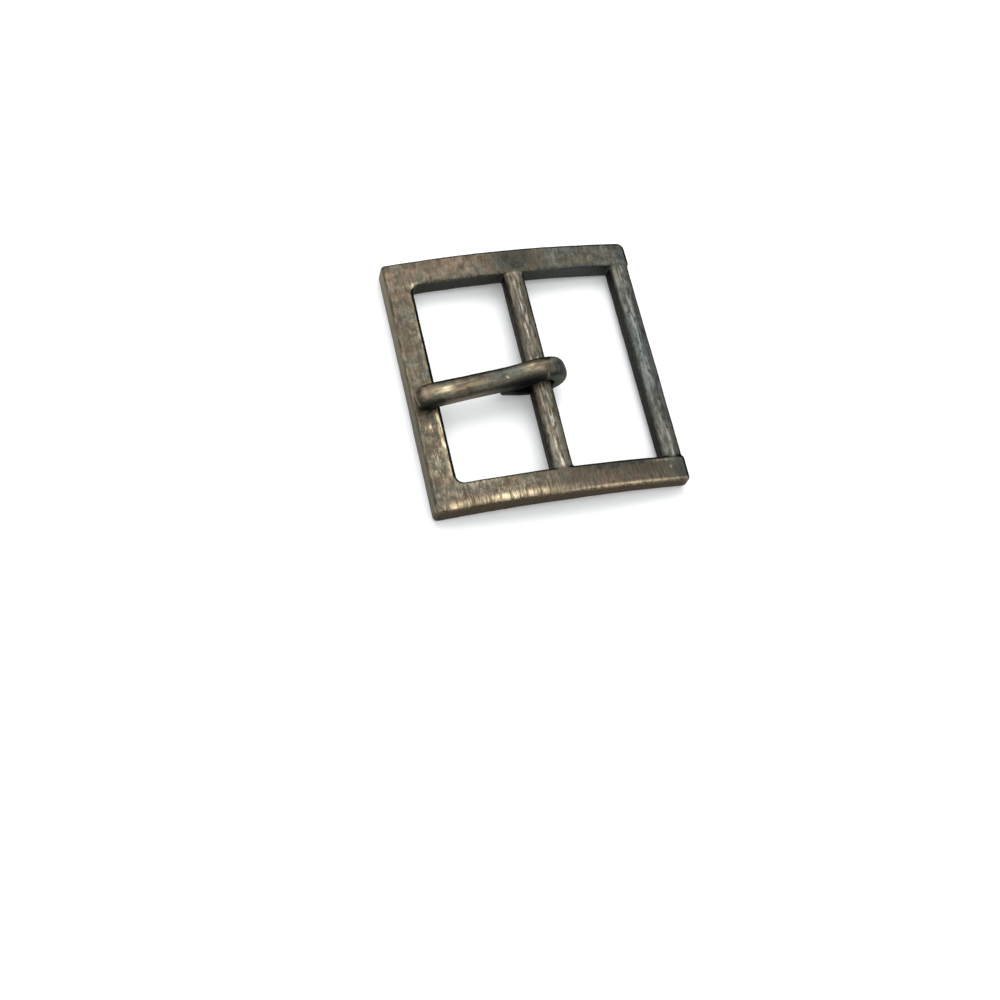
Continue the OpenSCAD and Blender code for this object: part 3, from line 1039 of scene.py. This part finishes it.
# Painted shade on the bars' flanks, with their dark skin
shaded_flank = mix_colour(antique, come["Cool"], BAR_SKIN_AND_SHADE, COOL_BAR_SKIN_AND_SHADE)
wall = mix_colour(antique, come["Bar"], wall, shaded_flank)
more_on_bar = math_node(antique, "MULTIPLY", come["Bar"], BAR_UP)
facing_up = math_node(antique, "ADD", come["Up"], more_on_bar)
skin = mix_colour(antique, spread_out(antique, facing_up, UP_FROM, UP_TO), wall, base)
# Dark places, partly painted shade
skin = mix_colour(antique, patchy("Darkened", floor_share=0.35), skin, BLACK_PATINA_AND_SHADE)
skin = mix_colour(antique, come["Wear"], skin, BRASS)
# Painted shade: the edges that face the lee side are painted near black
less_on_bar = math_node(antique, "MULTIPLY", come["Bar"], BAR_LEE)
facing_lee = math_node(antique, "SUBTRACT", come["Lee"], less_on_bar)
on_lee_shade = spread_out(antique, facing_lee, LEE_FROM, LEE_TO)
skin = mix_colour(antique, on_lee_shade, skin, LEE_SHADE)
antique.links.new(skin, give["Color"])
dull = math_node(antique, "ADD", ROUGH, math_node(antique, "MULTIPLY", come["Grain"], ROUGH_GRAIN))
dull = math_node(antique, "ADD", dull, math_node(antique, "MULTIPLY", on_lee_shade, ROUGH_LEE))
polished = math_node(antique, "MULTIPLY", come["Wear"], -POLISH)
antique.links.new(math_node(antique, "ADD", dull, polished), give["Roughness"])
print("group:", antique.name)

# %% [markdown]
# Each material reads the mesh's attributes, passes them through the groups and
# ends in a Principled BSDF with two bumps: the brush marks, and the grain of
# the cast skin. Whatever one group gives, the next one takes by the name of
# its socket. Patina is a skin of oxide on metal, so it stays metallic, but
# dark and rather rough. Clean metal turns white at a glancing view, and a
# tarnished one doesn't, which the shader's edge tint takes care of.

# %% The two materials
METALLIC = 0.92
GRAZING = (0.66, 0.64, 0.6, 1)
# The mesh's attributes, under the names of the sockets that take them
STORED = ["Flat", "Edge", "Up", "Lee", "Bar", "Crown", "Front Wall", "Side Wall"]
STORED += [kind.capitalize() for kind in FRAME_SPOTS]


def antique_material(name, mark_depth, grain_depth, **values):
    """One finish. The depths are in mm, and the values go to the sockets of their names."""
    material = bpy.data.materials.new(name)
    material.use_nodes = True
    tree = material.node_tree
    shader = tree.nodes["Principled BSDF"]
    known = dict(values)
    for stored in STORED:
        settings = {"attribute_name": stored.lower().replace(" ", "_")}
        outputs = make(tree, "ShaderNodeAttribute", settings).outputs
        known[stored] = outputs["Vector" if stored == "Flat" else "Fac"]
    for group in (brush, clouds, bar_wear_and_highlight, wear, antique):
        sockets = [item.name for item in group.interface.items_tree if item.in_out == "INPUT"]
        taken = {socket: known[socket] for socket in sockets if socket in known}
        given = make(tree, "ShaderNodeGroup", {"node_tree": group}, **taken).outputs
        known.update(given.items())
    scratches = make(tree, "ShaderNodeBump", Height=known["Fine"], Strength=1.0, Distance=mark_depth / MM)
    grain = make(tree, "ShaderNodeBump", Height=known["Grain"], Strength=1.0, Distance=grain_depth / MM,
                 Normal=scratches.outputs[0])
    shader.inputs["Metallic"].default_value = METALLIC
    shader.inputs["Specular Tint"].default_value = GRAZING
    tree.links.new(known["Color"], shader.inputs["Base Color"])
    tree.links.new(known["Roughness"], shader.inputs["Roughness"])
    tree.links.new(grain.outputs[0], shader.inputs["Normal"])
    return material


frame_brass = antique_material("frame brass", 0.012, 0.008, Length=1.5, Width=0.27, Size=2.1, Amount=1.15)
prong_brass = antique_material("prong brass", 0.005, 0.005, Length=2.2, Width=0.4, Size=1.8, Amount=1.6)
print("materials:", frame_brass.name, "and", prong_brass.name)

# %% [markdown]
# Each new piece takes the place of its solid: it rides on the same body, so
# the prong still turns on its hinge, and it wears the same material as its solid.

# %% Put the pieces in the frame
for piece, node, slot, material in (
    (frame_piece, "frame", "frame_brass", frame_brass),
    (prong_piece, "prong", "prong_brass", prong_brass),
):
    piece.data.materials.clear()
    piece.data.materials.append(material)
    frame["nodes"][node].data.materials.clear()
    frame["nodes"][node].data.materials.append(material)
    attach(piece, node)
    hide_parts(node)
    print(piece.name, "stands for", node)

# %% [markdown]
# The camera stands where the photograph's did: over the front left corner,
# looking steeply down, and turned about its own line of sight. Its angles and
# its distance were found from the buckle's straight edges.

# %% The camera
AZIMUTH, ELEVATION, ROLL = (math.radians(a) for a in (-36.098, 64.031, 25.441))
AIM_RIGHT, AIM_UP, DISTANCE = 4.219, 15.564, 185.517
FOCAL_PX, IMAGE_PX, SENSOR_MM = 1585.97, 1000, 36
# The point that the camera's aim and distance are measured from, on the crown of the arch
CROWN = Vector((-0.035, 0, AXIS_Z + ARCH_R))
back = Vector((
    math.sin(AZIMUTH) * math.cos(ELEVATION),
    -math.cos(AZIMUTH) * math.cos(ELEVATION),
    math.sin(ELEVATION),
))
level = Vector((math.cos(AZIMUTH), math.sin(AZIMUTH), 0))
upright = back.cross(level)
right = math.cos(ROLL) * level + math.sin(ROLL) * upright
up = math.cos(ROLL) * upright - math.sin(ROLL) * level
where = (CROWN - AIM_RIGHT * right - AIM_UP * up + DISTANCE * back) / MM
lens = bpy.data.cameras.new("camera")
lens.sensor_width = SENSOR_MM
lens.lens = FOCAL_PX * SENSOR_MM / IMAGE_PX
lens.clip_start, lens.clip_end = 0.01, 10
camera = new_object("camera", lens)
camera.matrix_world = Matrix.Translation(where) @ Matrix((right, up, back)).transposed().to_4x4()
bpy.context.scene.camera = camera
print("camera at", [round(v, 4) for v in where], "m, lens", round(lens.lens, 1), "mm")

# %% [markdown]
# The buckle lies on white card under a broad soft light from above, which
# metal shows as a bright sky over a dark horizon. So the world is a dome that
# fades towards the horizon, and edges that roll down show a thin dark line. It
# is a little brighter towards the lee side, which lays the soft shadows on the
# near side. An image of a studio would light it too, but a few nodes are
# enough for a plain sky, and they need no file.

# %% The dome
DOME_GLOW, HORIZON_GLOW, SEEN_GLOW = 1.62, 0.16, 1.0
# The heights between which the dome brightens, and how much brighter it is towards the lee side
DOME_FROM, DOME_TO = 0.3, 0.85
DOME_TILT = 0.35
DOME_COLOUR = (0.97, 0.99, 1.0, 1)
world = bpy.data.worlds.new("daylight")
world.use_nodes = True
dome = world.node_tree
sky = dome.nodes["Background"]
direction = make(dome, "ShaderNodeTexCoord").outputs["Generated"]
height = make(dome, "ShaderNodeSeparateXYZ", Vector=direction).outputs["Z"]
fade = {"From Min": DOME_FROM, "From Max": DOME_TO, "To Min": HORIZON_GLOW, "To Max": DOME_GLOW}
glow = make(dome, "ShaderNodeMapRange", {"interpolation_type": "SMOOTHSTEP"}, Value=height, **fade)
towards_lee = make(dome, "ShaderNodeVectorMath", {"operation": "DOT_PRODUCT"}, i0=direction, i1=LEE)
tilt = math_node(dome, "MULTIPLY", towards_lee.outputs["Value"], DOME_TILT)
glow = math_node(dome, "MULTIPLY", glow.outputs["Result"], math_node(dome, "ADD", 1.0, tilt))
seen = make(dome, "ShaderNodeLightPath").outputs["Is Camera Ray"]
strength = make(dome, "ShaderNodeMix", {"data_type": "FLOAT"}, i0=seen, i2=glow, i3=SEEN_GLOW)
dome.links.new(strength.outputs[0], sky.inputs["Strength"])
sky.inputs["Color"].default_value = DOME_COLOUR
bpy.context.scene.world = world
print("dome:", HORIZON_GLOW, "at the horizon and", DOME_GLOW, "overhead")

# %% [markdown]
# One large softbox, high up on the far side, gives the light its direction.
# The card glows a little by itself, so that it burns out to plain white and
# only the shadows show on it. It is a stage piece, no part of the buckle.

# %% The card and the softbox
CARD_HALF = 1.5
CARD_COLOUR, CARD_ROUGHNESS = (0.87, 0.87, 0.87, 1), 0.9
CARD_GLOW_COLOUR, CARD_GLOW = (1.0, 1.0, 0.99, 1), 0.15
SOFTBOX_WATTS, SOFTBOX_SIZE = 2.8, 0.5
SOFTBOX_AT = Vector((0.03, 0.42, 0.8))


def add_card():
    """The white card that the buckle lies on."""
    mesh = bpy.data.meshes.new("card")
    corners = [(x * CARD_HALF, y * CARD_HALF, 0) for x, y in ((-1, -1), (1, -1), (1, 1), (-1, 1))]
    mesh.from_pydata(corners, [], [(0, 1, 2, 3)])
    paper = bpy.data.materials.new("card")
    paper.use_nodes = True
    shader = paper.node_tree.nodes["Principled BSDF"]
    shader.inputs["Base Color"].default_value = CARD_COLOUR
    shader.inputs["Roughness"].default_value = CARD_ROUGHNESS
    shader.inputs["Emission Color"].default_value = CARD_GLOW_COLOUR
    shader.inputs["Emission Strength"].default_value = CARD_GLOW
    mesh.materials.append(paper)
    new_object("card", mesh)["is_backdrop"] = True


add_card()
softbox = bpy.data.lights.new("softbox", "AREA")
softbox.size = SOFTBOX_SIZE
softbox.energy = SOFTBOX_WATTS
lamp = new_object("softbox", softbox)
lamp.location = SOFTBOX_AT
lamp.rotation_mode = "QUATERNION"
lamp.rotation_quaternion = SOFTBOX_AT.to_track_quat("Z", "Y")
bpy.context.scene.view_settings.view_transform = "Standard"

# %% [markdown]
# The dressed buckle has to be the size of its solids.

# %% The size of the dressed buckle
low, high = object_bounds()
print("visual box in mm:", [round(MM * v, 2) for v in high - low])
